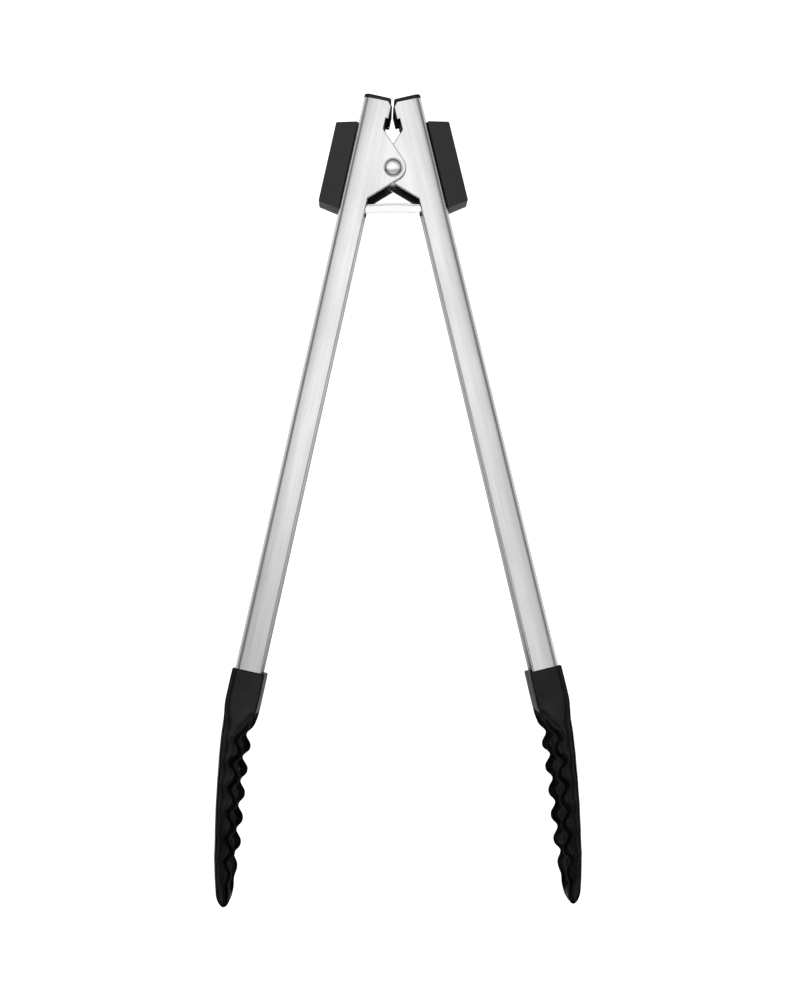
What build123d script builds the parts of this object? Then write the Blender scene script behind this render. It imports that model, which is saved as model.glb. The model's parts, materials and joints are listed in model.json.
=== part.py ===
"""Spring loaded kitchen tongs: two steel channel arms that cross at a rivet, with scalloped soft heads.

The tongs lie on their side: +Y runs from the heads to the hinge, and +Z is the rivet's axis.
Each arm has its own plane at the pivot: local x runs down the arm, local y points inward, towards the
other arm, and local z is the depth of the channel.
"""
from build123d import *
from math import cos, radians, sin, tan
import os

# Whole object
PIVOT_Y = 122.28
MID_Z = 22.0
HALF_ANGLE = 12.9
SIDES = {"left": 1, "right": -1}

# Channel arms: distances along an arm and across it
SHEET = 1.0
HALF_DEPTH = {"left": 9.5, "right": 8.3}
FLARED_HALF_DEPTH = 12.2
WEB = -16.4
FLANGE_EDGE = -6.6
TOP_EDGE = -5.55
NOTCH_EDGE = -6.55
WEB_CORNER = 2.5
STEEL_TOP = -23.85
STEEL_CORNER = -6.85
STEEL_SHOULDER = -22.4
NOTCH_TOP = -17.75
LUG_TOP = -13.25
LUG_BOTTOM = 13.3
LUG_RADIUS = 4.9
FLARE_START = 22.0
STEEL_END = 207.0
INWARD_REACH = 12.0

# Hinge
RIVET_RADIUS = 2.4
RIVET_HEAD_RADIUS = 3.6
RIVET_HEAD_HEIGHT = 1.5
RIVET_HEAD_EDGE = 0.4
FORMED_HEAD_RADIUS = 3.3
WASHER_RADIUS = 4.2
WASHER_THICKNESS = 0.6
HOLE_RADIUS = {"left": 2.43, "right": 2.46}
SLEEVE_RADIUS = 4.0
RUNNING_GAP = 0.08

# Grip pads and their carriers
PAD_TOP = -14.75
PAD_BOTTOM = 18.95
PAD_THICKNESS = 8.25
PAD_HALF_DEPTH = 7.1
PAD_BOTTOM_SLOPE = 8.6
PAD_EDGE_RADIUS = 1.2
CARRIER_THICKNESS = 1.2
CARRIER_MARGIN = 0.4
PEG_RADIUS = 1.6
PEG_HOLE_RADIUS = 1.65
PEG_HEAD_RADIUS = 2.5
PEG_HEAD_HEIGHT = 0.9
PEG_PLACES = (-5.5, 10.5)

# End caps: outline of the inner face, which meets the other cap
CAP_TOP = -25.3
CAP_CORNER = (-25.3, -6.9)
CAP_MITRE = (-24.9, -6.2)
CAP_STEP = (-22.7, -5.7)
CAP_SHOULDER = -22.3
CAP_FACE = -5.3
CAP_LIP_END = -17.95
CAP_PLUG_END = -12.2
CAP_CLEARANCE = 0.05

# Leaf spring
STRIP_THICKNESS = 0.8
STRIP_HALF_DEPTH = 7.0
TAB_HALF_DEPTH = 5.6
STRIP_DROP = 13.4
STRIP_GAP = 0.2
TAB_TOP = 5.0
TAB_BOTTOM = 18.4
TAB_HOLE_RADIUS = 2.0
FULL_DEPTH_REACH = 13.1
TAB_DEPTH_REACH = 15.1

# Heads
HEAD_TOP = 193.6
SLEEVE_BACK = -17.3
SLEEVE_INNER = -5.2
HEAD_HALF_DEPTH = 22.0
HEAD_CORNER = 3.0
BACK_LINE = (
    (205.5, -17.3), (212.0, -16.95), (220.0, -16.3), (228.6, -15.2), (237.5, -13.85), (247.0, -12.2),
    (257.0, -10.25), (264.0, -8.85), (271.5, -7.0), (275.8, -5.5),
)
TIP = (280.4, -2.1)
TIP_INNER = (278.6, -0.4)
RIM_END = (272.5, 0.1)
RIM_START = (215.0, -6.7)
SHOULDER = (209.5, -5.2)
RIM_REFERENCE = (222.3, -6.0)
RIM_SLOPE = 0.13
FIRST_SCALLOP = 218.0
SCALLOP_PITCH = 8.9
SCALLOP_COUNT = 6
SCALLOP_RADIUS = 4.0
SCALLOP_DEPTH = 2.2
# distance along the arm, half depth at the back, half depth at the rim
HEAD_WIDTHS = (
    (193.6, 13.5, 13.5), (206.0, 13.5, 13.5), (214.0, 13.6, 19.6), (223.0, 13.6, 22.0), (238.0, 13.2, 21.4),
    (252.0, 12.0, 19.0), (264.0, 10.0, 15.4), (273.0, 7.0, 11.0), (281.0, 3.4, 5.6),
)
WALL = 3.2
SIDE_WALL = 3.4
RIM_WALL = 2.6
SCOOP_START = 210.0
SCOOP_END = 275.5

# Head cores and the rivets that hold them
PLUG_START = 196.0
BRIDGE_END = 209.5
BRIDGE_HALF_DEPTH = 9.0
TONGUE_END = 262.0
TONGUE_COVER = 0.9
TONGUE_THICKNESS = 1.5
TONGUE_HALF_DEPTH = 8.0
HEAD_RIVET_PLACE = 201.0
HEAD_RIVET_RADIUS = 1.5
HEAD_RIVET_HEAD = 3.0
HEAD_RIVET_HEAD_HEIGHT = 0.7
HEAD_RIVET_LENGTH = 7.0


def arm_plane(side):
    """Plane of one arm, with its origin on the rivet's axis in the middle of the tongs."""
    sign = SIDES[side]
    turn = radians(HALF_ANGLE)
    return Plane(origin=(0, PIVOT_Y, MID_Z), x_dir=(-sign * sin(turn), -cos(turn), 0), z_dir=(0, 0, sign))


def cross_plane(side, along):
    """Plane square to the arm at a distance along it: local x points inward, local y is the depth."""
    arm = arm_plane(side)
    return Plane(origin=arm.from_local_coords((along, 0, 0)), x_dir=arm.y_dir, z_dir=arm.x_dir)


def web_plane(side, along, across):
    """Plane parallel to the web, facing inward, centred at a place given on the arm's plane."""
    arm = arm_plane(side)
    return Plane(origin=arm.from_local_coords((along, across, 0)), x_dir=arm.x_dir, z_dir=arm.y_dir)


def pivot_plane(height):
    """Plane square to the rivet at a height above or below the middle of the tongs."""
    return Plane(origin=(0, PIVOT_Y, MID_Z + height), x_dir=(1, 0, 0), z_dir=(0, 0, 1))


def between(points, place):
    """Second value of a row of points at a given first value, on straight lines between them."""
    for (start, low), (end, high) in zip(points, points[1:]):
        if place <= end:
            return low + (high - low) * (place - start) / (end - start)
    return points[-1][1]


def back_height(along):
    """Height of the head's back across the arm."""
    return between(((HEAD_TOP, SLEEVE_BACK), *BACK_LINE, TIP), along)


def scallop_top(along):
    """Height of the line through the tops of the scallops."""
    return RIM_REFERENCE[1] + RIM_SLOPE * (along - RIM_REFERENCE[0])


def rim_height(along):
    """Height of the head's rim across the arm, without its scallops."""
    if along <= RIM_REFERENCE[0]:
        return between(((HEAD_TOP, SLEEVE_INNER), SHOULDER, RIM_START, RIM_REFERENCE), along)
    return min(scallop_top(along), RIM_END[1])


def half_depth(side, along):
    """Outer half depth of the channel: parallel at the hinge, then flaring towards the head."""
    run = max(0.0, (along - FLARE_START) / (STEEL_END - FLARE_START))
    return HALF_DEPTH[side] + run * (FLARED_HALF_DEPTH - HALF_DEPTH[side])


def channel_outline(depth, inset):
    """Outline of the channel's envelope on a cross plane, with its two web corners rounded."""
    with BuildSketch() as outline:
        with Locations(((INWARD_REACH + WEB + inset) / 2, 0)):
            Rectangle(INWARD_REACH - WEB - inset, 2 * depth)
        fillet(outline.vertices().group_by(Axis.X)[0], radius=WEB_CORNER - inset)
    return outline.sketch


def channel_envelope(side, inset, start, end):
    """Solid inside the channel's outer shape, shrunk by inset, between two distances along the arm."""
    stations = sorted({start, end, min(max(FLARE_START, start), end)})
    with BuildPart() as envelope:
        for first, last in zip(stations, stations[1:]):
            for along in (first, last):
                outline = channel_outline(half_depth(side, along) - inset, inset)
                with BuildSketch(cross_plane(side, along)):
                    add(outline)
            loft(ruled=True)
    return envelope.part


def cut_to_profile(envelope, side, outline):
    """The part of an envelope that lies behind an outline drawn on the arm's plane."""
    with BuildPart() as piece:
        add(envelope)
        with BuildSketch(arm_plane(side)):
            with BuildLine():
                Polyline(*outline, close=True)
            make_face()
        extrude(amount=HEAD_HALF_DEPTH, both=True, mode=Mode.INTERSECT)
    return piece.part


def lug_outline():
    """Outline of a lug: straight edges from the flange, tangent to a round end about the rivet."""
    with BuildSketch() as lug:
        with BuildLine():
            CenterArc((0, 0), LUG_RADIUS, 0, 360)
            Line((LUG_TOP, NOTCH_EDGE), (LUG_BOTTOM, FLANGE_EDGE))
        make_hull()
    return lug.sketch


def make_arm(side):
    """Channel arm: a web, two flanges, and the lugs that carry the rivet."""
    lug = lug_outline()
    with BuildPart() as arm:
        add(channel_envelope(side, 0.0, STEEL_TOP, STEEL_END))
        add(channel_envelope(side, SHEET, STEEL_TOP - 1, STEEL_END + 1), mode=Mode.SUBTRACT)
        with BuildSketch(arm_plane(side)):
            with BuildLine():
                Polyline(
                    (STEEL_TOP, WEB - SHEET), (STEEL_TOP, STEEL_CORNER), (STEEL_SHOULDER, TOP_EDGE),
                    (NOTCH_TOP, TOP_EDGE), (NOTCH_TOP, NOTCH_EDGE), (LUG_TOP, NOTCH_EDGE),
                    (LUG_BOTTOM, FLANGE_EDGE), (STEEL_END, FLANGE_EDGE), (STEEL_END, WEB - SHEET), close=True,
                )
            make_face()
            add(lug)
        extrude(amount=HEAD_HALF_DEPTH, both=True, mode=Mode.INTERSECT)
        with BuildSketch(arm_plane(side)):
            Circle(HOLE_RADIUS[side])
        extrude(amount=HEAD_HALF_DEPTH, both=True, mode=Mode.SUBTRACT)
        for along in PEG_PLACES:
            with BuildSketch(web_plane(side, along, WEB)):
                Circle(PEG_HOLE_RADIUS)
            extrude(amount=SHEET, mode=Mode.SUBTRACT)
        with BuildSketch(web_plane(side, HEAD_RIVET_PLACE, WEB)):
            Circle(HEAD_RIVET_RADIUS)
        extrude(amount=SHEET, mode=Mode.SUBTRACT)
    return arm.part


def make_grip_pad(side):
    """Soft pad on the outside of the web: a trapezoid from the side, with its outer edges rounded."""
    inner = WEB - CARRIER_THICKNESS
    outer = WEB - PAD_THICKNESS
    top_lean = (inner - outer) * tan(radians(HALF_ANGLE))
    bottom_lean = (inner - outer) * tan(radians(PAD_BOTTOM_SLOPE))
    with BuildPart() as pad:
        with BuildSketch(arm_plane(side)):
            with BuildLine():
                Polyline(
                    (PAD_TOP, inner), (PAD_TOP + top_lean, outer), (PAD_BOTTOM - bottom_lean, outer),
                    (PAD_BOTTOM, inner), close=True,
                )
            make_face()
        extrude(amount=PAD_HALF_DEPTH, both=True)
        outward = Axis((0, 0, 0), -arm_plane(side).y_dir)
        outer_face = pad.faces().sort_by(outward)[-1]
        fillet(outer_face.edges(), radius=PAD_EDGE_RADIUS)
    return pad.part


def make_pad_carrier(side):
    """Hard plate between pad and web, with pegs that are headed over inside the channel."""
    outline = (
        (PAD_TOP + CARRIER_MARGIN, WEB), (PAD_TOP + CARRIER_MARGIN, WEB - CARRIER_THICKNESS),
        (PAD_BOTTOM - CARRIER_MARGIN, WEB - CARRIER_THICKNESS), (PAD_BOTTOM - CARRIER_MARGIN, WEB),
    )
    with BuildPart() as carrier:
        with BuildSketch(arm_plane(side)):
            with BuildLine():
                Polyline(*outline, close=True)
            make_face()
        extrude(amount=PAD_HALF_DEPTH - CARRIER_MARGIN, both=True)
        for along in PEG_PLACES:
            on_spring = STRIP_THICKNESS + 2 * STRIP_GAP if along > TAB_TOP else 0.0
            with BuildSketch(web_plane(side, along, WEB)):
                Circle(PEG_RADIUS)
            extrude(amount=SHEET + on_spring)
            with BuildSketch(web_plane(side, along, WEB + SHEET + on_spring)):
                Circle(PEG_HEAD_RADIUS)
            extrude(amount=PEG_HEAD_HEIGHT)
    return carrier.part


def make_end_cap(side):
    """Cap over the top of the arm, with a lip on its inner side and a plug inside the channel."""
    band = cut_to_profile(
        channel_envelope(side, 0.0, CAP_TOP, CAP_LIP_END), side,
        (
            (CAP_TOP, WEB), CAP_CORNER, CAP_MITRE, CAP_STEP, (CAP_SHOULDER, CAP_FACE), (CAP_LIP_END, CAP_FACE),
            (CAP_LIP_END, TOP_EDGE), (STEEL_SHOULDER, TOP_EDGE), (STEEL_TOP, STEEL_CORNER), (STEEL_TOP, WEB),
        ),
    )
    plug = cut_to_profile(
        channel_envelope(side, SHEET + CAP_CLEARANCE, STEEL_TOP, CAP_PLUG_END), side,
        (
            (STEEL_TOP, WEB), (STEEL_TOP, STEEL_CORNER), (STEEL_SHOULDER, TOP_EDGE), (CAP_LIP_END, TOP_EDGE),
            (CAP_LIP_END, NOTCH_EDGE), (CAP_PLUG_END, NOTCH_EDGE), (CAP_PLUG_END, WEB),
        ),
    )
    with BuildPart() as cap:
        add(band)
        add(plug)
    return cap.part


def dome_radius(radius):
    """Radius of the sphere that a rivet head's dome is cut from."""
    rise = RIVET_HEAD_HEIGHT - RIVET_HEAD_EDGE
    return (radius ** 2 + rise ** 2) / (2 * rise)


def make_hinge_rivet():
    """Domed rivet through the four lugs, with its formed end under the far washer."""
    top = HALF_DEPTH["left"]
    bottom = -HALF_DEPTH["left"] - WASHER_THICKNESS
    crown = (0, top + RIVET_HEAD_HEIGHT)
    crown_edge = (RIVET_HEAD_RADIUS, top + RIVET_HEAD_EDGE)
    foot = (0, bottom - RIVET_HEAD_HEIGHT)
    foot_edge = (FORMED_HEAD_RADIUS, bottom - RIVET_HEAD_EDGE)
    with BuildPart() as rivet:
        with BuildSketch(Plane(origin=(0, PIVOT_Y, MID_Z), x_dir=(1, 0, 0), z_dir=(0, -1, 0))):
            with BuildLine():
                RadiusArc(crown, crown_edge, dome_radius(RIVET_HEAD_RADIUS))
                Polyline(
                    crown_edge, (RIVET_HEAD_RADIUS, top), (RIVET_RADIUS, top), (RIVET_RADIUS, bottom),
                    (FORMED_HEAD_RADIUS, bottom), foot_edge,
                )
                RadiusArc(foot_edge, foot, dome_radius(FORMED_HEAD_RADIUS))
                Line(foot, crown)
            make_face()
        revolve(axis=Axis((0, PIVOT_Y, MID_Z), (0, 0, 1)))
    return rivet.part


def make_hinge_washer():
    """Flat washer between the far lug and the rivet's formed end."""
    with BuildPart() as washer:
        with BuildSketch(pivot_plane(-HALF_DEPTH["left"] - WASHER_THICKNESS)):
            Circle(WASHER_RADIUS)
            Circle(HOLE_RADIUS["left"], mode=Mode.SUBTRACT)
        extrude(amount=WASHER_THICKNESS)
    return washer.part


def make_spacer_sleeve():
    """Tube on the rivet between the inner lugs, which keeps the channels from being squeezed shut."""
    reach = HALF_DEPTH["right"] - SHEET - RUNNING_GAP
    with BuildPart() as sleeve:
        with BuildSketch(pivot_plane(0)):
            Circle(SLEEVE_RADIUS)
            Circle(HOLE_RADIUS["right"], mode=Mode.SUBTRACT)
        extrude(amount=reach, both=True)
    return sleeve.part


def make_spring_strip():
    """Leaf spring: a shallow bow from web to web, with a tab lying along each web behind the pads."""
    middle = pivot_plane(0)
    across = WEB + SHEET + STRIP_GAP + STRIP_THICKNESS / 2
    ends = {}
    for side in SIDES:
        arm = arm_plane(side)
        ends[side] = [
            middle.to_local_coords(arm.from_local_coords((along, across, 0))) for along in (TAB_TOP, TAB_BOTTOM)
        ]
    with BuildPart() as strip:
        with BuildSketch(middle):
            with BuildLine():
                Line(ends["left"][0], ends["left"][1])
                ThreePointArc(ends["left"][1], (0, -STRIP_DROP), ends["right"][1])
                Line(ends["right"][1], ends["right"][0])
            trace(line_width=STRIP_THICKNESS)
        extrude(amount=STRIP_HALF_DEPTH, both=True)
        with BuildSketch(Plane(origin=(0, PIVOT_Y, MID_Z), x_dir=(1, 0, 0), z_dir=(0, -1, 0))):
            Rectangle(2 * FULL_DEPTH_REACH, 2 * STRIP_HALF_DEPTH)
            Rectangle(4 * TAB_DEPTH_REACH, 2 * TAB_HALF_DEPTH)
            with BuildLine():
                Polyline(
                    (-FULL_DEPTH_REACH, -STRIP_HALF_DEPTH), (-TAB_DEPTH_REACH, -TAB_HALF_DEPTH),
                    (-TAB_DEPTH_REACH, TAB_HALF_DEPTH), (-FULL_DEPTH_REACH, STRIP_HALF_DEPTH),
                    (FULL_DEPTH_REACH, STRIP_HALF_DEPTH), (TAB_DEPTH_REACH, TAB_HALF_DEPTH),
                    (TAB_DEPTH_REACH, -TAB_HALF_DEPTH), (FULL_DEPTH_REACH, -STRIP_HALF_DEPTH), close=True,
                )
            make_face()
        extrude(amount=2 * PAD_BOTTOM, both=True, mode=Mode.INTERSECT)
        for side in SIDES:
            with BuildSketch(web_plane(side, PEG_PLACES[1], WEB)):
                Circle(TAB_HOLE_RADIUS)
            extrude(amount=2 * SHEET + STRIP_THICKNESS, mode=Mode.SUBTRACT)
    return strip.part


def scoop_outline(back, rim, back_depth, rim_depth):
    """Outline of the head on a cross plane: a rounded back, walls that lean out to the rim, and above."""
    with BuildSketch() as outline:
        with BuildLine():
            Polyline(
                (INWARD_REACH, -rim_depth), (rim, -rim_depth), (back, -back_depth),
                (back, back_depth), (rim, rim_depth), (INWARD_REACH, rim_depth), close=True,
            )
        make_face()
        fillet(outline.vertices().group_by(Axis.X)[0], radius=HEAD_CORNER)
    return outline.sketch


def head_envelope(side, stations):
    """Solid through cross outlines: each is (distance, back, rim, depth at the back, depth at the rim)."""
    with BuildPart() as envelope:
        for first, last in zip(stations, stations[1:]):
            for along, *sizes in (first, last):
                outline = scoop_outline(*sizes)
                with BuildSketch(cross_plane(side, along)):
                    add(outline)
            loft(ruled=True)
    return envelope.part


def make_head_core(side):
    """Stiff core: a plug in the end of the channel and a tongue inside the back of the head."""
    plug = cut_to_profile(
        channel_envelope(side, SHEET, PLUG_START, STEEL_END), side,
        ((PLUG_START, WEB), (PLUG_START, FLANGE_EDGE), (STEEL_END, FLANGE_EDGE), (STEEL_END, WEB)),
    )
    places = (STEEL_END, *(along for along, _ in BACK_LINE if STEEL_END < along < TONGUE_END), TONGUE_END)
    lower = [(along, back_height(along) + TONGUE_COVER) for along in places]
    upper = [(along, height + TONGUE_THICKNESS) for along, height in reversed(lower)]
    with BuildPart() as core:
        add(plug)
        with BuildSketch(arm_plane(side)):
            with BuildLine():
                Polyline(
                    (STEEL_END, WEB), (STEEL_END, FLANGE_EDGE - SHEET), (BRIDGE_END, FLANGE_EDGE - SHEET),
                    (BRIDGE_END, WEB), close=True,
                )
            make_face()
        extrude(amount=BRIDGE_HALF_DEPTH, both=True)
        with BuildSketch(arm_plane(side)):
            with BuildLine():
                Polyline(*lower, *upper, close=True)
            make_face()
        extrude(amount=TONGUE_HALF_DEPTH, both=True)
        with BuildSketch(web_plane(side, HEAD_RIVET_PLACE, WEB)):
            Circle(HEAD_RIVET_RADIUS)
        extrude(amount=HEAD_RIVET_LENGTH, mode=Mode.SUBTRACT)
    return core.part


def make_head_rivet(side):
    """Rivet through the web into the core's plug, under the head's sleeve."""
    with BuildPart() as rivet:
        with BuildSketch(web_plane(side, HEAD_RIVET_PLACE, WEB)):
            Circle(HEAD_RIVET_RADIUS)
        extrude(amount=HEAD_RIVET_LENGTH)
        with BuildSketch(web_plane(side, HEAD_RIVET_PLACE, WEB)):
            Circle(HEAD_RIVET_HEAD)
        extrude(amount=-HEAD_RIVET_HEAD_HEIGHT)
    return rivet.part


def make_head(side, core, rivet):
    """Soft head: a sleeve round the end of the arm and a scoop with a flared, scalloped rim."""
    outer = [
        (along, back_height(along), rim_height(along), back_depth, rim_depth)
        for along, back_depth, rim_depth in HEAD_WIDTHS
    ]
    back_depths = [(along, back_depth) for along, back_depth, _ in HEAD_WIDTHS]
    rim_depths = [(along, rim_depth) for along, _, rim_depth in HEAD_WIDTHS]
    places = (SCOOP_START, *(along for along, _, _ in HEAD_WIDTHS if SCOOP_START < along < SCOOP_END), SCOOP_END)
    scoop = [
        (
            along, back_height(along) + WALL, rim_height(along),
            max(HEAD_CORNER + 0.2, between(back_depths, along) - SIDE_WALL), between(rim_depths, along) - RIM_WALL,
        )
        for along in places
    ]
    seat = cut_to_profile(
        channel_envelope(side, 0.0, HEAD_TOP - SHEET, STEEL_END), side,
        (
            (HEAD_TOP - SHEET, WEB), (HEAD_TOP - SHEET, FLANGE_EDGE), (STEEL_END, FLANGE_EDGE), (STEEL_END, WEB),
        ),
    )
    with BuildPart() as head:
        add(head_envelope(side, outer))
        with BuildSketch(arm_plane(side)):
            with BuildLine():
                Polyline((HEAD_TOP, SLEEVE_INNER), (HEAD_TOP, SLEEVE_BACK), BACK_LINE[0])
                Spline(*BACK_LINE)
                ThreePointArc(BACK_LINE[-1], TIP, TIP_INNER)
                Polyline(
                    TIP_INNER, RIM_END, (RIM_END[0] - 2, scallop_top(RIM_END[0] - 2)), RIM_REFERENCE,
                    RIM_START, SHOULDER, (HEAD_TOP, SLEEVE_INNER),
                )
            make_face()
            for number in range(SCALLOP_COUNT):
                along = FIRST_SCALLOP + number * SCALLOP_PITCH
                with Locations((along, scallop_top(along) + SCALLOP_RADIUS - SCALLOP_DEPTH)):
                    Circle(SCALLOP_RADIUS, mode=Mode.SUBTRACT)
        extrude(amount=HEAD_HALF_DEPTH, both=True, mode=Mode.INTERSECT)
        add(head_envelope(side, scoop), mode=Mode.SUBTRACT)
        add(seat, mode=Mode.SUBTRACT)
        add(core, mode=Mode.SUBTRACT)
        add(rivet, mode=Mode.SUBTRACT)
    return head.part


def save(name, part):
    """Label one finished piece and write its STEP file."""
    part.label = name
    export_step(part, f"parts/{name}.step")


os.makedirs("parts", exist_ok=True)
for side in SIDES:
    head_core = make_head_core(side)
    head_rivet = make_head_rivet(side)
    save(f"{side}_arm", make_arm(side))
    save(f"{side}_grip_pad", make_grip_pad(side))
    save(f"{side}_pad_carrier", make_pad_carrier(side))
    save(f"{side}_end_cap", make_end_cap(side))
    save(f"{side}_head_core", head_core)
    save(f"{side}_head_rivet", head_rivet)
    save(f"{side}_head", make_head(side, head_core, head_rivet))
save("hinge_rivet", make_hinge_rivet())
save("hinge_washer", make_hinge_washer())
save("spacer_sleeve", make_spacer_sleeve())
save("spring_strip", make_spring_strip())
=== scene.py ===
"""Spring loaded kitchen tongs: the looks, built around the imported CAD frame."""
import json
from math import acos, atan2, cos, hypot, pi, radians, sin, sqrt, tan

import bmesh
import bpy
from mathutils import Matrix, Vector


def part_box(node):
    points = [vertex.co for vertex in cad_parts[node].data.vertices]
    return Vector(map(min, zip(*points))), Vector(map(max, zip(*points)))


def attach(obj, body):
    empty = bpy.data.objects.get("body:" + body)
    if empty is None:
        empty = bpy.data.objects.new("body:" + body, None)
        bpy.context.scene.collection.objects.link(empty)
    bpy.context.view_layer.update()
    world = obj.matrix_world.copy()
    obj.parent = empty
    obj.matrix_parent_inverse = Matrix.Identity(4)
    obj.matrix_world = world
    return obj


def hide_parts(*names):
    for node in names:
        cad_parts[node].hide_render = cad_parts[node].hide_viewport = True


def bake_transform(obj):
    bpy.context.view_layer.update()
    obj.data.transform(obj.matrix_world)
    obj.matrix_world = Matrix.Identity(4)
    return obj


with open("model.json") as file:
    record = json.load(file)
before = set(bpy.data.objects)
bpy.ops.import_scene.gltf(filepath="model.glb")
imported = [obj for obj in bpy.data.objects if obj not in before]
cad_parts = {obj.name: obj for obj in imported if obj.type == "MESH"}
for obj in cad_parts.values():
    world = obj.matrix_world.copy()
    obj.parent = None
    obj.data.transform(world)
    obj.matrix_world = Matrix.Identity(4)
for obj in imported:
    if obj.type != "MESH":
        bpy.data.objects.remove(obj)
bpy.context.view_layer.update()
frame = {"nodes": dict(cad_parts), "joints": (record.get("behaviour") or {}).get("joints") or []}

MM = 0.001
SIDES = {"left": 1, "right": -1}
HINGE = frame["joints"][0]
PIVOT = Vector(HINGE["pos_m"])
HALF_ANGLE = radians(12.9)

# Channel arms, in millimetres: distances along an arm from the pivot, and across it
SHEET = 1.0
WEB = -16.4
FLANGE_EDGE = -6.6
TOP_EDGE = -5.55
NOTCH_EDGE = -6.55
STEEL_TOP = -23.85
STEEL_CORNER = -6.85
STEEL_SHOULDER = -22.4
NOTCH_TOP = -17.75
LUG_TOP = -13.25
LUG_BOTTOM = 13.3
LUG_RADIUS = 4.9
SHADED_END = 17.0
# Painted shade on the arm steel: greyer beside the web and, on the left arm, towards the head
WEB_SHADE = 0.66
WEB_SHADE_REACH = 6.5
FOOT_SHADE_START = 120.0
FOOT_SHADE_END = 205.0
FOOT_SHADE = {"left": 0.8, "right": 1.0}
WEB_CORNER = 2.5
FLANGE_CROWN = 0.22
BEAD_RADIUS = 0.55
BEAD_START = 15.0
BEAD_FULL = 24.0
FLARE_START = 22.0
STEEL_END = 207.0
FLARED_HALF_DEPTH = 12.2
HINGE_HALF_DEPTH = {side: (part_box(f"{side}_end_cap")[1].z - PIVOT.z) / MM for side in SIDES}

# Pads, caps, spring
PAD_TOP = -14.75
PAD_BOTTOM = 18.95
PAD_THICKNESS = 8.25
PAD_SEAM = 0.15
PAD_HALF_DEPTH = 7.1
PAD_EDGE = 0.4
PAD_CORNER = 0.6
PAD_DRAFT = 0.15
PAD_BOTTOM_SLOPE = radians(8.6)
STRIP_THICKNESS = 0.8
STRIP_DROP = 13.4
STRIP_HALF_DEPTH = 7.0
TAB_HALF_DEPTH = 5.6
TAB_TOP = 5.0
TAB_BOTTOM = 18.4
STRIP_GAP = 0.2
STRIP_EDGE = 0.22
FULL_DEPTH_REACH = 13.1
TAB_DEPTH_REACH = 15.1

CAP_TOP = -25.3
CAP_CORNER = 0.9
CAP_CORNER_REACH = 7.0
CAP_SOFT_EDGE = 0.18

# Rivet
RIVET_RADIUS = 2.4
RIVET_HEAD_RADIUS = 3.6
RIVET_HEAD_HEIGHT = 1.5
FORMED_HEAD_RADIUS = 3.3
WASHER_THICKNESS = 0.6
DOME_EDGE = 0.12

# Heads
HEAD_TOP = 193.6
SLEEVE_MIDDLE = -11.2
SLEEVE_END = 205.0
HEAD_END = 280.35
BACK_LINE = (
    (193.6, -17.3), (205.5, -17.3), (212.0, -17.0), (220.0, -16.4), (228.6, -15.25), (237.5, -13.9),
    (247.0, -12.3), (257.0, -10.35), (264.0, -8.95), (271.5, -7.05), (276.0, -5.75), (280.4, -4.5),
)
RIM_LINE = (
    (193.6, -5.2), (207.0, -5.2), (210.3, -5.35), (213.0, -5.85), (216.0, -6.6), (219.0, -6.5),
    (222.2, -5.95),
    (231.0, -5.1), (239.8, -4.1), (248.8, -2.75), (257.7, -1.4), (265.5, -0.75), (270.0, -0.35), (276.0, 0.0),
    (280.4, 0.0),
)
ROUND_START = 276.2
FIRST_BUMP = 222.4
SCALLOP_PITCH = 8.9
SCALLOP_DEPTH = 2.15
SCALLOP_FADE = (
    (213.0, 0.0), (217.0, 0.7), (222.0, 1.05), (228.0, 1.15), (236.0, 1.0), (258.0, 0.95), (263.0, 0.85),
    (268.0, 0.45), (273.0, 0.1), (275.0, 0.0),
)
BACK_WIDTHS = ((193.6, 13.5), (223.0, 13.6), (238.0, 13.2), (252.0, 12.0), (262.0, 10.4))
RIM_WIDTHS = (
    (193.6, 13.1), (205.0, 13.2), (210.0, 15.4), (214.0, 18.8), (218.0, 21.0), (223.0, 21.95), (230.0, 21.9),
    (238.0, 21.3), (252.0, 19.0), (262.0, 16.4),
)
TIP_START = 262.0
RIM_BAND = 3.4
RIM_EDGE = 0.62
WALL = 2.4
FLOOR_THICKNESS = 3.2
BACK_CORNER = 4.2
BACK_CROWN = 0.9
MOUTH_EDGE = 0.7
SCALLOP_SHARPNESS = 1.35


def clamp(value, low=0.0, high=1.0):
    return max(low, min(high, value))


def ease(value, start, end):
    """Smooth step from 0 at start to 1 at end."""
    share = clamp((value - start) / (end - start))
    return share * share * (3 - 2 * share)


def between(points, place):
    """Value of a row of points at a place, on straight lines between them."""
    for (start, low), (end, high) in zip(points, points[1:]):
        if place <= end:
            return low + (high - low) * clamp((place - start) / (end - start))
    return points[-1][1]


def smooth_between(points, place):
    """Value of a row of points at a place, on a smooth curve through them."""
    slopes = [(b[1] - a[1]) / (b[0] - a[0]) for a, b in zip(points, points[1:])]
    tangents = [slopes[0], *((a + b) / 2 for a, b in zip(slopes, slopes[1:])), slopes[-1]]
    for number, ((start, low), (end, high)) in enumerate(zip(points, points[1:])):
        if place <= end or number == len(slopes) - 1:
            width = end - start
            t = clamp((place - start) / width)
            return (
                (2 * t ** 3 - 3 * t ** 2 + 1) * low + (t ** 3 - 2 * t ** 2 + t) * width * tangents[number]
                + (3 * t ** 2 - 2 * t ** 3) * high + (t ** 3 - t ** 2) * width * tangents[number + 1]
            )


def steps(start, end, count):
    """Evenly spaced values from start to end, both included."""
    return [start + (end - start) * number / count for number in range(count + 1)]


def arc(centre, radius, start, end, count):
    """Points on an arc, with its angles in degrees."""
    return [
        (centre[0] + radius * cos(radians(angle)), centre[1] + radius * sin(radians(angle)))
        for angle in steps(start, end, count)
    ]


def on_arm(side, along, across, depth):
    """Point in the row frame from distances on one arm, in millimetres."""
    x = SIDES[side] * (across * cos(HALF_ANGLE) - along * sin(HALF_ANGLE))
    y = -along * cos(HALF_ANGLE) - across * sin(HALF_ANGLE)
    return PIVOT + Vector((x, y, depth)) * MM


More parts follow.
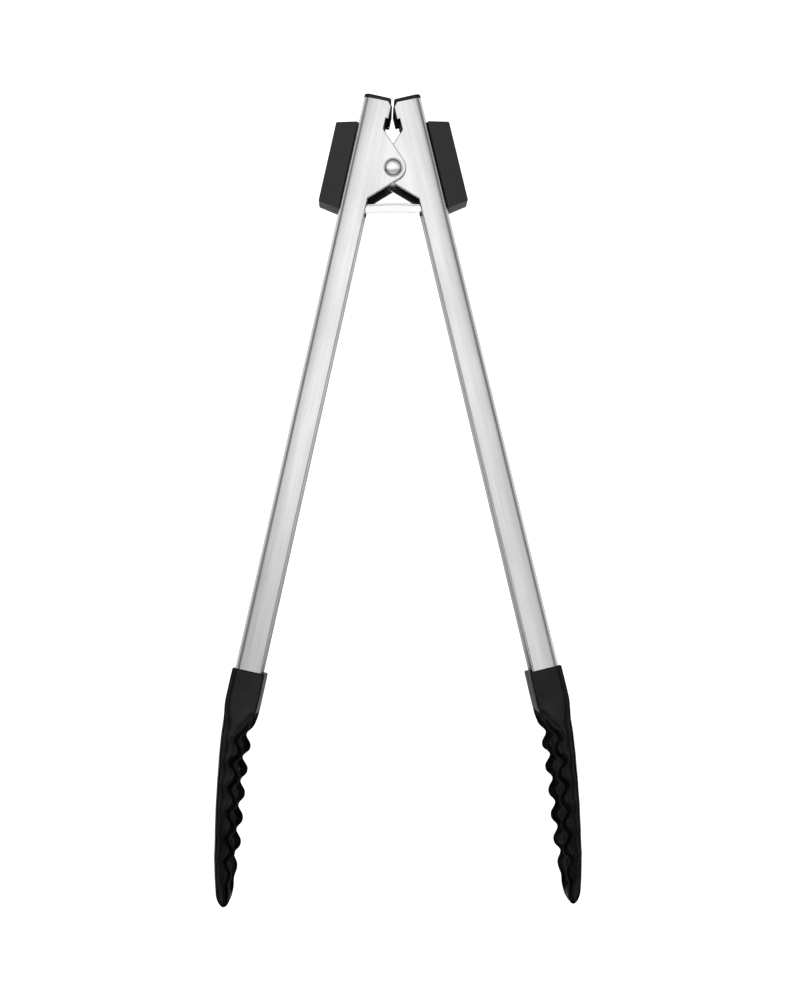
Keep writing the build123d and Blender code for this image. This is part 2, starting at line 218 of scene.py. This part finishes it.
def make_piece(name, rings, material, body=None, sharp=50.0, closed=True, capped=True):
    """Mesh through rings of points, with its end rings capped unless they join each other."""
    mesh = bpy.data.meshes.new(name)
    built = bmesh.new()
    rows = [[built.verts.new(point) for point in ring] for ring in rings]
    pairs = list(zip(rows, rows[1:]))
    if not capped:
        pairs.append((rows[-1], rows[0]))
    for first, second in pairs:
        count = len(first)
        for number in range(count if closed else count - 1):
            following = (number + 1) % count
            built.faces.new((first[number], first[following], second[following], second[number]))
    if capped:
        built.faces.new(rows[0])
        built.faces.new(list(reversed(rows[-1])))
    bmesh.ops.remove_doubles(built, verts=built.verts, dist=1e-7)
    bmesh.ops.recalc_face_normals(built, faces=built.faces)
    for edge in built.edges:
        edge.smooth = len(edge.link_faces) == 2 and edge.calc_face_angle(0.0) < radians(sharp)
    for face in built.faces:
        face.smooth = True
    built.to_mesh(mesh)
    built.free()
    piece = bpy.data.objects.new(name, mesh)
    bpy.context.scene.collection.objects.link(piece)
    mesh.materials.append(material)
    if body:
        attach(piece, body)
    return piece


# ---------------------------------------------------------------- materials

def new_material(name):
    """Node material, with its nodes, its links and its principled shader."""
    material = bpy.data.materials.new(name)
    material.use_nodes = True
    tree = material.node_tree
    return material, tree.nodes, tree.links, tree.nodes["Principled BSDF"]


def set_sockets(node, **values):
    """Fixed values on a node's inputs, named with underscores for spaces."""
    for name, value in values.items():
        node.inputs[name.replace("_", " ")].default_value = value


def ramp(nodes, stops):
    """Colour ramp with grey stops, given as (place, grey)."""
    node = nodes.new("ShaderNodeValToRGB")
    elements = node.color_ramp.elements
    while len(elements) < len(stops):
        elements.new(0.5)
    for element, (place, grey) in zip(elements, stops):
        element.position = place
        element.color = (grey, grey, grey, 1)
    return node


def noise(nodes, links, vector, scale, detail=4.0, roughness=0.55):
    node = nodes.new("ShaderNodeTexNoise")
    set_sockets(node, Scale=scale, Detail=detail, Roughness=roughness)
    links.new(vector, node.inputs["Vector"])
    return node.outputs["Fac"]


def stretched(nodes, links, turn, scales):
    """Object coordinates turned about Z so that X runs along an arm, then stretched."""
    place = nodes.new("ShaderNodeTexCoord")
    turned = nodes.new("ShaderNodeMapping")
    turned.vector_type = "POINT"
    turned.inputs["Rotation"].default_value = (0, 0, turn)
    links.new(place.outputs["Object"], turned.inputs["Vector"])
    scaled = nodes.new("ShaderNodeMapping")
    scaled.inputs["Scale"].default_value = scales
    links.new(turned.outputs["Vector"], scaled.inputs["Vector"])
    return scaled.outputs["Vector"]


def measured(nodes, links, direction, origin, start, end, low, high):
    """Value that runs from low to high as the place moves from start to end, in mm, in a direction."""
    place = nodes.new("ShaderNodeTexCoord").outputs["Object"]
    dot = nodes.new("ShaderNodeVectorMath")
    dot.operation = "DOT_PRODUCT"
    dot.inputs[1].default_value = direction
    links.new(place, dot.inputs[0])
    base = origin.dot(direction)
    spread = nodes.new("ShaderNodeMapRange")
    spread.interpolation_type = "SMOOTHSTEP"
    set_sockets(
        spread, From_Min=base + start * MM, From_Max=base + end * MM, To_Min=low, To_Max=high,
    )
    links.new(dot.outputs["Value"], spread.inputs["Value"])
    return spread.outputs["Result"]


def painted_arm_shade(nodes, links, side):
    """Painted shade on the sheet: greyer beside the web and, on the left arm, towards the head."""
    origin = on_arm(side, 0, 0, 0)
    inward = (on_arm(side, 0, 1, 0) - origin).normalized()
    down = (on_arm(side, 1, 0, 0) - origin).normalized()
    across = measured(nodes, links, inward, origin, WEB, WEB + WEB_SHADE_REACH, WEB_SHADE, 1.0)
    along = measured(nodes, links, down, origin, FOOT_SHADE_START, FOOT_SHADE_END, 1.0, FOOT_SHADE[side])
    both = nodes.new("ShaderNodeMath")
    both.operation = "MULTIPLY"
    links.new(across, both.inputs[0])
    links.new(along, both.inputs[1])
    return both.outputs["Value"]


def brushed_steel(name, side=None, roughness=0.30, line=1.0, tone=1.0):
    """Stainless sheet, brushed along the arm: fine streaks in colour, roughness and height."""
    material, nodes, links, shader = new_material(name)
    turn = radians(90) + (SIDES[side] * HALF_ANGLE if side else 0.0)
    fine = noise(nodes, links, stretched(nodes, links, turn, (30, 2600, 2600)), 1.0, 3.0)
    broad = noise(nodes, links, stretched(nodes, links, turn, (12, 420, 420)), 1.0, 2.0)
    cloud = noise(nodes, links, stretched(nodes, links, turn, (22, 60, 60)), 1.0, 2.0)
    mix = nodes.new("ShaderNodeMix")
    mix.data_type = "FLOAT"
    set_sockets(mix, Factor=0.4)
    links.new(fine, mix.inputs["A"])
    links.new(broad, mix.inputs["B"])
    colour = ramp(nodes, ((0.30, 0.59 * tone), (0.5, 0.69 * tone), (0.72, 0.77 * tone)))
    links.new(mix.outputs["Result"], colour.inputs["Fac"])
    # With a side given, the colour is multiplied by the painted shade across and along the arm
    if side:
        shaded = nodes.new("ShaderNodeMix")
        shaded.data_type = "RGBA"
        shaded.blend_type = "MULTIPLY"
        shaded.inputs["Factor"].default_value = 1.0
        links.new(colour.outputs["Color"], shaded.inputs[6])
        links.new(painted_arm_shade(nodes, links, side), shaded.inputs[7])
        links.new(shaded.outputs[2], shader.inputs["Base Color"])
    else:
        links.new(colour.outputs["Color"], shader.inputs["Base Color"])
    rough = nodes.new("ShaderNodeMapRange")
    set_sockets(rough, From_Min=0.3, From_Max=0.7, To_Min=roughness - 0.05, To_Max=roughness + 0.07)
    links.new(cloud, rough.inputs["Value"])
    links.new(rough.outputs["Result"], shader.inputs["Roughness"])
    bump = nodes.new("ShaderNodeBump")
    set_sockets(bump, Strength=0.10 * line, Distance=0.00012)
    links.new(mix.outputs["Result"], bump.inputs["Height"])
    links.new(bump.outputs["Normal"], shader.inputs["Normal"])
    set_sockets(shader, Metallic=1.0)
    return material


def polished_steel(name, roughness=0.12):
    """Polished steel with faint handling marks."""
    material, nodes, links, shader = new_material(name)
    place = nodes.new("ShaderNodeTexCoord").outputs["Object"]
    marks = noise(nodes, links, place, 900.0, 5.0)
    rough = nodes.new("ShaderNodeMapRange")
    set_sockets(rough, From_Min=0.3, From_Max=0.75, To_Min=roughness - 0.03, To_Max=roughness + 0.08)
    links.new(marks, rough.inputs["Value"])
    links.new(rough.outputs["Result"], shader.inputs["Roughness"])
    colour = ramp(nodes, ((0.35, 0.70), (0.7, 0.78)))
    links.new(marks, colour.inputs["Fac"])
    links.new(colour.outputs["Color"], shader.inputs["Base Color"])
    set_sockets(shader, Metallic=1.0)
    return material


def moulded(name, low, high, roughness, edge_tint, grain=2600.0, height=0.00003, spread=0.06):
    """Black rubber or plastic with fine grain, shaded as a dark metal to hold down grazing glare."""
    material, nodes, links, shader = new_material(name)
    place = nodes.new("ShaderNodeTexCoord").outputs["Object"]
    fine = noise(nodes, links, place, grain, 3.0)
    mottle = noise(nodes, links, place, 130.0, 4.0)
    colour = ramp(nodes, ((0.3, low), (0.7, high)))
    links.new(mottle, colour.inputs["Fac"])
    links.new(colour.outputs["Color"], shader.inputs["Base Color"])
    rough = nodes.new("ShaderNodeMapRange")
    set_sockets(rough, From_Min=0.3, From_Max=0.7, To_Min=roughness - spread, To_Max=roughness + spread)
    links.new(mottle, rough.inputs["Value"])
    links.new(rough.outputs["Result"], shader.inputs["Roughness"])
    bump = nodes.new("ShaderNodeBump")
    set_sockets(bump, Strength=0.35, Distance=height)
    links.new(fine, bump.inputs["Height"])
    links.new(bump.outputs["Normal"], shader.inputs["Normal"])
    shader.inputs["Metallic"].default_value = 1.0
    shader.inputs["Specular Tint"].default_value = (edge_tint, edge_tint, edge_tint, 1)
    return material


ARM_STEEL = {side: brushed_steel(f"brushed_steel_{side}", side) for side in SIDES}
SPRING_STEEL = brushed_steel("spring_steel", None, roughness=0.22, line=0.5)
RIVET_STEEL = polished_steel("polished_steel")
INNER_STEEL = polished_steel("inner_steel", roughness=0.3)
# Painted shade: a dark copy of the brushed steel for the inner skin beside the hinge
SHADED_STEEL = brushed_steel("shaded_steel", tone=0.16)
PAD_RUBBER = moulded("pad_rubber", 0.062, 0.078, 0.62, 0.6)
CAP_PLASTIC = moulded("cap_plastic", 0.030, 0.040, 0.45, 0.2)
HEAD_SILICONE = moulded("head_silicone", 0.019, 0.028, 0.34, 0.12, grain=1500.0, spread=0.05)
INNER_NYLON = moulded("inner_nylon", 0.012, 0.018, 0.5, 0.15)


# ---------------------------------------------------------------- arms

def lug_edge(along):
    """Height of the lug's edge: straight lines from the flange, tangent to the round end about the rivet."""
    feet = ((LUG_TOP, NOTCH_EDGE, -1), (LUG_BOTTOM, FLANGE_EDGE, 1))
    for foot_along, foot_across, sign in feet:
        reach = hypot(foot_along, foot_across)
        angle = atan2(foot_across, foot_along) + sign * acos(LUG_RADIUS / reach)
        touch = (LUG_RADIUS * cos(angle), LUG_RADIUS * sin(angle))
        if sign * along > sign * touch[0]:
            share = clamp((along - touch[0]) / (foot_along - touch[0]))
            return touch[1] + (foot_across - touch[1]) * share
    return sqrt(max(0.0, LUG_RADIUS ** 2 - along ** 2))


def flange_edge(along):
    """Height of the flange's inner edge at a distance along the arm."""
    if along < STEEL_SHOULDER:
        return STEEL_CORNER + (TOP_EDGE - STEEL_CORNER) * (along - STEEL_TOP) / (STEEL_SHOULDER - STEEL_TOP)
    if along < NOTCH_TOP:
        return TOP_EDGE
    if along < LUG_TOP:
        return NOTCH_EDGE
    return lug_edge(along) if along < LUG_BOTTOM else FLANGE_EDGE


def arm_half_depth(side, along):
    """Outer half depth of the channel."""
    hinge = HINGE_HALF_DEPTH[side]
    return hinge + (FLARED_HALF_DEPTH - hinge) * clamp((along - FLARE_START) / (STEEL_END - FLARE_START))


def arm_stations():
    """Distances along the arm: close together at the hinge, wider down the arm."""
    notch = [STEEL_SHOULDER, NOTCH_TOP - 0.02, NOTCH_TOP + 0.02, LUG_TOP, LUG_BOTTOM]
    hinge = steps(STEEL_TOP, FLARE_START, 75)
    arm = steps(FLARE_START, STEEL_END, 46)[1:]
    return sorted({round(place, 3) for place in (*notch, *hinge, *arm)})


def channel_ring(side, along):
    """Cross-section of the channel: the outer skin from edge to edge, then the inner skin back."""
    depth = arm_half_depth(side, along)
    bead = SHEET / 2 + (BEAD_RADIUS - SHEET / 2) * ease(along, BEAD_START, BEAD_FULL)
    corner = WEB + WEB_CORNER

    def crowned(across, skin):
        drop = FLANGE_CROWN * clamp((FLANGE_EDGE - across) / (FLANGE_EDGE - corner)) ** 2
        return skin - drop

    centre = (corner, depth - FLANGE_CROWN - WEB_CORNER)

    def half_ring(edge):
        neck = edge - 2.1 * bead
        tip = arc((edge - bead, depth - SHEET / 2), bead, -90, 90, 8)
        outer_run = [(across, crowned(across, depth)) for across in steps(neck, corner, 9)]
        inner_run = [(across, crowned(across, depth - SHEET)) for across in steps(corner, neck, 9)]
        outer_corner = arc(centre, WEB_CORNER, 90, 180, 7)[1:]
        inner_corner = arc(centre, WEB_CORNER - SHEET, 180, 90, 7)[:-1]
        web = [(WEB, share * centre[1]) for share in (0.6, 0.2)]
        inner_web = [(WEB + SHEET, share * centre[1]) for share in (0.2, 0.6)]
        return [*tip, *outer_run, *outer_corner, *web], [*inner_web, *inner_corner, *inner_run]

    near, near_inner = half_ring(flange_edge(along))
    outer = [*near, *((across, -height) for across, height in reversed(near))]
    inner = [*((across, -height) for across, height in reversed(near_inner)), *near_inner]
    return [on_arm(side, along, across, height) for across, height in (*outer, *inner)]


def darken_inside(piece, side):
    """Painted darker tone on the inner skin beside the hinge, where little light reaches."""
    piece.data.materials.append(SHADED_STEEL)
    down = (on_arm(side, 1, 0, 0) - on_arm(side, 0, 0, 0)).normalized()
    inward = (on_arm(side, 0, 1, 0) - on_arm(side, 0, 0, 0)).normalized()
    for face in piece.data.polygons:
        place = face.center - on_arm(side, 0, 0, 0)
        faces_inside = face.normal.z * place.z < -0.5 * abs(place.z) or face.normal.dot(inward) > 0.5
        if place.dot(down) < SHADED_END * MM and faces_inside:
            bead = place.dot(inward) > FLANGE_EDGE * MM and face.normal.dot(inward) > 0.5
            face.material_index = 0 if bead else 1


def make_arm(side):
    """Channel arm, without the holes that its rivets and pegs fill."""
    rings = [channel_ring(side, along) for along in arm_stations()]
    piece = make_piece(f"{side}_arm_sheet", rings, ARM_STEEL[side], f"{side}_side", sharp=55.0)
    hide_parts(f"{side}_arm")
    darken_inside(piece, side)


# ---------------------------------------------------------------- pads, spring, rivet

def rounded_outline(corners, radius, inset, count=6):
    """Outline of a convex shape with round corners, shrunk by inset. Corners run anticlockwise."""
    points = []
    total = len(corners)
    for number, corner in enumerate(corners):
        here = Vector(corner)
        before = (Vector(corners[number - 1]) - here).normalized()
        after = (Vector(corners[(number + 1) % total]) - here).normalized()
        half = before.angle(after) / 2
        centre = here + (before + after).normalized() * (radius / sin(half))
        reach = radius - inset
        first = here + before * (radius / tan(half)) - centre
        last = here + after * (radius / tan(half)) - centre
        begin, end = atan2(first.y, first.x), atan2(last.y, last.x)
        while end - begin > pi:
            end -= 2 * pi
        while begin - end > pi:
            end += 2 * pi
        points += [(centre.x + reach * cos(a), centre.y + reach * sin(a)) for a in steps(begin, end, count)]
    return points


def make_grip_pad(side):
    """Pad on the outside of the web: fine rounded edges, and a depth that narrows towards the outer face."""
    inner = WEB - PAD_SEAM
    outer = WEB - PAD_THICKNESS
    lean = outer - inner
    corners = (
        (PAD_TOP, inner), (PAD_TOP - lean * tan(HALF_ANGLE), outer),
        (PAD_BOTTOM + lean * tan(PAD_BOTTOM_SLOPE), outer), (PAD_BOTTOM, inner),
    )
    levels = [
        (PAD_HALF_DEPTH - PAD_EDGE * (1 - sin(radians(angle))), PAD_EDGE * (1 - cos(radians(angle))))
        for angle in steps(90, 0, 5)
    ]
    levels += [(depth, 0.0) for depth in steps(PAD_HALF_DEPTH - PAD_EDGE, 0, 3)[1:]]
    levels += [(-depth, inset) for depth, inset in reversed(levels[:-1])]
    rings = []
    for depth, inset in levels:
        outline = rounded_outline(corners, PAD_CORNER, inset)
        rings.append([
            on_arm(side, along, across, depth * (1 - PAD_DRAFT * (inner - across) / PAD_THICKNESS))
            for along, across in outline
        ])
    piece = make_piece(f"{side}_pad_moulding", rings, PAD_RUBBER, f"{side}_side", sharp=40.0)
    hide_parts(f"{side}_grip_pad")


def strip_path():
    """Middle line of the leaf spring about the pivot: up one web's tab, across the bow, up the other tab."""
    across = WEB + SHEET + STRIP_GAP + STRIP_THICKNESS / 2
    end = (
        across * cos(HALF_ANGLE) - TAB_BOTTOM * sin(HALF_ANGLE),
        -TAB_BOTTOM * cos(HALF_ANGLE) - across * sin(HALF_ANGLE),
    )
    sag = (end[1] + STRIP_DROP) / end[0] ** 2
    bow = [(x, -STRIP_DROP + sag * x * x) for x in steps(end[0] + 0.9, -end[0] - 0.9, 44)]
    tab = []
    for along in steps(TAB_TOP, TAB_BOTTOM - 0.9, 10):
        tab.append((
            across * cos(HALF_ANGLE) - along * sin(HALF_ANGLE),
            -along * cos(HALF_ANGLE) - across * sin(HALF_ANGLE),
        ))
    return [*tab, *bow, *((-x, y) for x, y in reversed(tab))]


def make_spring_strip():
    """Leaf spring: a tab inside each arm's web, joined by a bow below the pivot."""
    path = strip_path()
    rings = []
    for number, (x, y) in enumerate(path):
        before, after = path[max(0, number - 1)], path[min(len(path) - 1, number + 1)]
        run = Vector((after[0] - before[0], after[1] - before[1])).normalized()
        side = Vector((-run.y, run.x))
        narrowing = ease(abs(x), FULL_DEPTH_REACH, TAB_DEPTH_REACH)
        depth = STRIP_HALF_DEPTH - (STRIP_HALF_DEPTH - TAB_HALF_DEPTH) * narrowing
        half = STRIP_THICKNESS / 2
        corners = ((-half, -depth), (half, -depth), (half, depth), (-half, depth))
        outline = rounded_outline(corners, STRIP_EDGE, 0.0, 3)
        rings.append([
            PIVOT + Vector((x + side.x * lift, y + side.y * lift, width)) * MM for lift, width in outline
        ])
    piece = make_piece("leaf_spring", rings, SPRING_STEEL, None, sharp=60.0)
    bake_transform(piece)
    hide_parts("spring_strip")


def lathe(name, profile, material, body, segments=72):
    """Piece turned about the rivet's axis from a closed profile of (radius, height)."""
    rings = []
    for number in range(segments):
        angle = 2 * pi * number / segments
        rings.append([
            PIVOT + Vector((radius * cos(angle), radius * sin(angle), height)) * MM
            for radius, height in profile
        ])
    return make_piece(name, rings, material, body, sharp=35.0, closed=False, capped=False)


def dome(radius, height, edge, count=14):
    """Profile of a rivet head from its crown to its foot: a low ellipse with a steep edge."""
    return [
        (radius * sin(radians(a)), edge + (height - edge) * cos(radians(a))) for a in steps(0, 90, count)
    ]


def make_hinge_rivet():
    """Rivet with a domed head on the near side and a formed head over the washer."""
    top = HINGE_HALF_DEPTH["left"]
    bottom = -top - WASHER_THICKNESS
    near_dome = dome(RIVET_HEAD_RADIUS, RIVET_HEAD_HEIGHT, DOME_EDGE)
    far_dome = dome(FORMED_HEAD_RADIUS, RIVET_HEAD_HEIGHT, DOME_EDGE)
    near = [(radius, top + height) for radius, height in near_dome]
    far = [(radius, bottom - height) for radius, height in far_dome]
    shank = [
        (RIVET_HEAD_RADIUS, top), (RIVET_RADIUS, top), (RIVET_RADIUS, bottom), (FORMED_HEAD_RADIUS, bottom),
    ]
    piece = lathe("rivet", [*near, *shank, *reversed(far)], RIVET_STEEL, "left_side")
    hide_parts("hinge_rivet")


# ---------------------------------------------------------------- heads

def scallop(along):
    """How far the rim drops below the scallop tops."""
    wave = 0.5 - 0.5 * cos(2 * pi * (along - FIRST_BUMP) / SCALLOP_PITCH)
    return SCALLOP_DEPTH * wave ** SCALLOP_SHARPNESS * smooth_between(SCALLOP_FADE, along)


def tip_share(along):
    """Share of the head's width that is left near the round tip."""
    x = clamp((along - TIP_START) / (HEAD_END + 0.15 - TIP_START))
    return (1 - x ** 1.6) ** 0.6


def head_ring(side, along):
    """Cross-section of the head: half an outline from the back to the scoop's floor, then mirrored."""
    back = smooth_between(BACK_LINE, along)
    rim = smooth_between(RIM_LINE, along) - scallop(along)
    roundness = sqrt(1 - clamp((along - ROUND_START) / (HEAD_END - ROUND_START)) ** 2)
    middle = (back + rim) / 2
    back, rim = middle + (back - middle) * roundness, middle + (rim - middle) * roundness
    share = tip_share(along)
    back_width = smooth_between(BACK_WIDTHS, along) * share
    rim_width = max(back_width * 1.02, smooth_between(RIM_WIDTHS, along) * share)
    height = max(0.02, rim - back)
    opening = ease(along, SLEEVE_END, 217.0)
    hollow = ease(along, 207.0, 219.0) * (1 - ease(along, 268.0, 277.5))
    corner = min(BACK_CORNER * (0.7 + 0.3 * opening), 0.42 * height, 0.6 * back_width)
    crown = min(BACK_CROWN * opening, 0.12 * height)
    band = min(RIM_BAND, 0.4 * height)
    edge = min(RIM_EDGE, 0.2 * height, 0.3 * back_width)
    root = rim - band
    root_width = back_width + 0.9 * opening * share
    floor = rim - max(0.0, rim - back - FLOOR_THICKNESS) * hollow - 0.02 * min(1.0, height)
    wall = WALL * (0.5 + 0.5 * share)
    outline = [(back + crown * s * s, (back_width - corner) * s) for s in steps(0, 1, 5)]
    outline += [
        (a, b) for a, b in arc((back + crown + corner, back_width - corner), corner, 180, 90, 7)[1:]
    ]
    start = (back + crown + corner, back_width)
    outline += [
        (start[0] + (root - start[0]) * s, start[1] + (root_width - start[1]) * s * s)
        for s in steps(0, 1, 5)[1:]
    ]
    lip = [
        (root + (rim - edge - root) * s, root_width + (rim_width - root_width) * s ** 1.5)
        for s in steps(0, 1, 7)
    ]
    outline += lip[1:]
    outline += [(a, b) for a, b in arc((rim - edge, rim_width - edge), edge, 90, 0, 4)[1:]]
    inner_edge = (rim - edge * 0.4 * hollow, rim_width - 2 * edge)
    inner_root = (rim - (rim - root) * hollow, max(0.4 * back_width, root_width - wall))
    outline += [
        (
            inner_edge[0] + (inner_root[0] - inner_edge[0]) * s,
            inner_edge[1] + (inner_root[1] - inner_edge[1]) * (1 - (1 - s) ** 1.5),
        )
        for s in steps(0, 1, 6)
    ]
    floor_width = max(0.3 * back_width, inner_root[1] - 1.4 - 1.6 * hollow)
    outline += [
        (
            inner_root[0] + (floor - inner_root[0]) * (1 - (1 - s) ** 1.7),
            inner_root[1] + (floor_width - inner_root[1]) * s ** 1.7,
        )
        for s in steps(0, 1, 8)[1:]
    ]
    outline += [(floor, floor_width * (1 - s)) for s in steps(0, 1, 4)[1:]]
    mirrored = [(across, -depth) for across, depth in reversed(outline[1:-1])]
    return [on_arm(side, along, across, depth) for across, depth in (*outline, *mirrored)]


def head_stations():
    """Distances along the head, closer together at the mouth and at the tip."""
    mouth = [HEAD_TOP, HEAD_TOP + 0.12, HEAD_TOP + 0.35, HEAD_TOP + MOUTH_EDGE]
    body = steps(HEAD_TOP + 1.2, 270.0, 190)
    tip = [HEAD_END - 0.01 - (HEAD_END - 270.01) * (1 - share) ** 1.9 for share in steps(0.0, 1.0, 34)]
    return [*mouth, *body, *tip[1:]]


def make_head(side):
    """Scalloped scoop head with its sleeve, its mouth rounded in."""
    rings = []
    for along in head_stations():
        ring = head_ring(side, along)
        reach = clamp(MOUTH_EDGE - (along - HEAD_TOP), 0, MOUTH_EDGE)
        round_in = MOUTH_EDGE - sqrt(max(0.0, MOUTH_EDGE ** 2 - reach ** 2))
        if round_in > 0:
            centre = on_arm(side, along, SLEEVE_MIDDLE, 0)
            ring = [point - (point - centre).normalized() * round_in * MM for point in ring]
        rings.append(ring)
    piece = make_piece(f"{side}_head_moulding", rings, HEAD_SILICONE, f"{side}_side", sharp=50.0)
    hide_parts(f"{side}_head", f"{side}_head_core", f"{side}_head_rivet")


# ---------------------------------------------------------------- carried over CAD nodes

def finish_node(node, material, bevel):
    """Material and a fine rounded edge for a CAD node that keeps its own mesh."""
    piece = frame["nodes"][node]
    piece.data.materials.clear()
    piece.data.materials.append(material)
    weld = piece.modifiers.new("weld", "WELD")
    weld.merge_threshold = 1e-6
    edge = piece.modifiers.new("edge", "BEVEL")
    edge.width = bevel * MM
    edge.segments = 3
    edge.limit_method = "ANGLE"
    edge.angle_limit = radians(35)


def finish_cad_nodes():
    for side in SIDES:
        finish_node(f"{side}_pad_carrier", INNER_NYLON, 0.1)
    finish_node("hinge_washer", INNER_STEEL, 0.1)
    finish_node("spacer_sleeve", INNER_STEEL, 0.1)


def make_end_cap(side):
    """Cap with the CAD cap's shape, its outer top corner well rounded and its other edges softened."""
    built = bmesh.new()
    built.from_mesh(frame["nodes"][f"{side}_end_cap"].data)
    bmesh.ops.remove_doubles(built, verts=built.verts, dist=1e-6)
    bmesh.ops.dissolve_limit(built, angle_limit=radians(1.0), verts=built.verts, edges=built.edges)
    inward = (on_arm(side, 0, 1, 0) - on_arm(side, 0, 0, 0)).normalized()
    down = (on_arm(side, 1, 0, 0) - on_arm(side, 0, 0, 0)).normalized()
    corner = on_arm(side, CAP_TOP, WEB, 0)
    top_edges = []
    for edge in built.edges:
        middle = (edge.verts[0].co + edge.verts[1].co) / 2 - corner
        if abs(middle.dot(down)) < 0.01 * MM and middle.dot(inward) < CAP_CORNER_REACH * MM:
            top_edges.append(edge)
    bmesh.ops.bevel(built, geom=top_edges, offset=CAP_CORNER * MM, segments=5, affect="EDGES", profile=0.5,
                    clamp_overlap=True)
    joined = [edge for edge in built.edges if len(edge.link_faces) == 2 and edge.calc_length() > 0.3 * MM]
    sharp = [edge for edge in joined if edge.calc_face_angle(0.0) > radians(32)]
    bmesh.ops.bevel(built, geom=sharp, offset=CAP_SOFT_EDGE * MM, segments=2, affect="EDGES", profile=0.5,
                    clamp_overlap=True)
    for face in built.faces:
        face.smooth = True
    for edge in built.edges:
        edge.smooth = len(edge.link_faces) == 2 and edge.calc_face_angle(0.0) < radians(30)
    mesh = bpy.data.meshes.new(f"{side}_cap_moulding")
    built.to_mesh(mesh)
    built.free()
    piece = bpy.data.objects.new(f"{side}_cap_moulding", mesh)
    bpy.context.scene.collection.objects.link(piece)
    mesh.materials.append(CAP_PLASTIC)
    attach(piece, f"{side}_side")
    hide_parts(f"{side}_end_cap")


# ---------------------------------------------------------------- stage, lights, camera

CAMERA_PLACE = PIVOT + Vector((-11.2, -169.76, 745.0)) * MM
CAMERA_TARGET = PIVOT + Vector((1.72, -123.4, 0.0)) * MM
CAMERA_ROLL = radians(-0.45)
FOCAL_PIXELS = 2003.0
FRAME_HEIGHT = 1000.0
SENSOR = 36.0
SKY_STRENGTH = 1.25
FLOOR_GLOW = 0.95


def make_camera():
    """Camera above the tongs, looking down with +Y up the picture."""
    data = bpy.data.cameras.new("camera")
    data.sensor_width = SENSOR
    data.lens = SENSOR * FOCAL_PIXELS / FRAME_HEIGHT
    data.clip_start, data.clip_end = 0.01, 20.0
    camera = bpy.data.objects.new("camera", data)
    bpy.context.scene.collection.objects.link(camera)
    back = (CAMERA_PLACE - CAMERA_TARGET).normalized()
    right = Vector((0, 1, 0)).cross(back).normalized()
    up = back.cross(right)
    turned_right = right * cos(CAMERA_ROLL) + up * sin(CAMERA_ROLL)
    turned_up = up * cos(CAMERA_ROLL) - right * sin(CAMERA_ROLL)
    turn = Matrix((turned_right, turned_up, back)).transposed().to_4x4()
    camera.matrix_world = Matrix.Translation(CAMERA_PLACE) @ turn
    bpy.context.scene.camera = camera


def make_floor():
    """White floor that glows a little, so that it stays white under a gentle light."""
    mesh = bpy.data.meshes.new("floor")
    built = bmesh.new()
    bmesh.ops.create_grid(built, x_segments=2, y_segments=2, size=3.0)
    built.to_mesh(mesh)
    built.free()
    floor = bpy.data.objects.new("floor", mesh)
    bpy.context.scene.collection.objects.link(floor)
    material, *_, shader = new_material("floor_white")
    set_sockets(shader, Base_Color=(0.75, 0.75, 0.75, 1), Roughness=0.9)
    shader.inputs["Specular IOR Level"].default_value = 0.1
    shader.inputs["Emission Color"].default_value = (1, 1, 1, 1)
    shader.inputs["Emission Strength"].default_value = FLOOR_GLOW
    mesh.materials.append(material)


def make_world():
    """Studio light: bright overhead, dimmer towards the heads' end, with a dim band above a pale horizon."""
    world = bpy.data.worlds.new("studio")
    bpy.context.scene.world = world
    world.use_nodes = True
    nodes, links = world.node_tree.nodes, world.node_tree.links
    background = nodes["Background"]
    place = nodes.new("ShaderNodeTexCoord")
    parts = nodes.new("ShaderNodeSeparateXYZ")
    links.new(place.outputs["Generated"], parts.inputs["Vector"])
    rise = ramp(nodes, ((0.0, 0.72), (0.25, 0.68), (0.4, 0.12), (0.58, 0.12), (0.78, 0.5), (0.93, 1.0)))
    links.new(parts.outputs["Z"], rise.inputs["Fac"])
    half = nodes.new("ShaderNodeMath")
    half.operation = "MULTIPLY_ADD"
    half.inputs[1].default_value = 0.5
    half.inputs[2].default_value = 0.5
    links.new(parts.outputs["Y"], half.inputs[0])
    tones = ((0.0, 0.75), (0.25, 0.7), (0.42, 0.38), (0.48, 0.62), (0.56, 1.0), (0.75, 1.0), (1.0, 0.8))
    run = ramp(nodes, tones)
    links.new(half.outputs["Value"], run.inputs["Fac"])
    both = nodes.new("ShaderNodeMix")
    both.data_type = "RGBA"
    both.blend_type = "MULTIPLY"
    both.inputs["Factor"].default_value = 1.0
    links.new(rise.outputs["Color"], both.inputs[6])
    links.new(run.outputs["Color"], both.inputs[7])
    links.new(both.outputs[2], background.inputs["Color"])
    background.inputs["Strength"].default_value = SKY_STRENGTH


def make_light(name, place, target, size, power):
    data = bpy.data.lights.new(name, "AREA")
    data.shape = "RECTANGLE"
    data.size, data.size_y = size
    data.energy = power
    light = bpy.data.objects.new(name, data)
    bpy.context.scene.collection.objects.link(light)
    light.location = place
    light.rotation_mode = "QUATERNION"
    light.rotation_quaternion = (Vector(target) - Vector(place)).to_track_quat("-Z", "Y")


make_camera()
make_floor()
make_world()
make_light("key", (-0.5, 0.6, 1.6), (0, 0, 0), (1.4, 1.4), 1.2)
bpy.context.scene.view_settings.view_transform = "Standard"

for side_name in SIDES:
    make_arm(side_name)
    make_grip_pad(side_name)
    make_head(side_name)
    make_end_cap(side_name)
make_spring_strip()
make_hinge_rivet()
finish_cad_nodes()
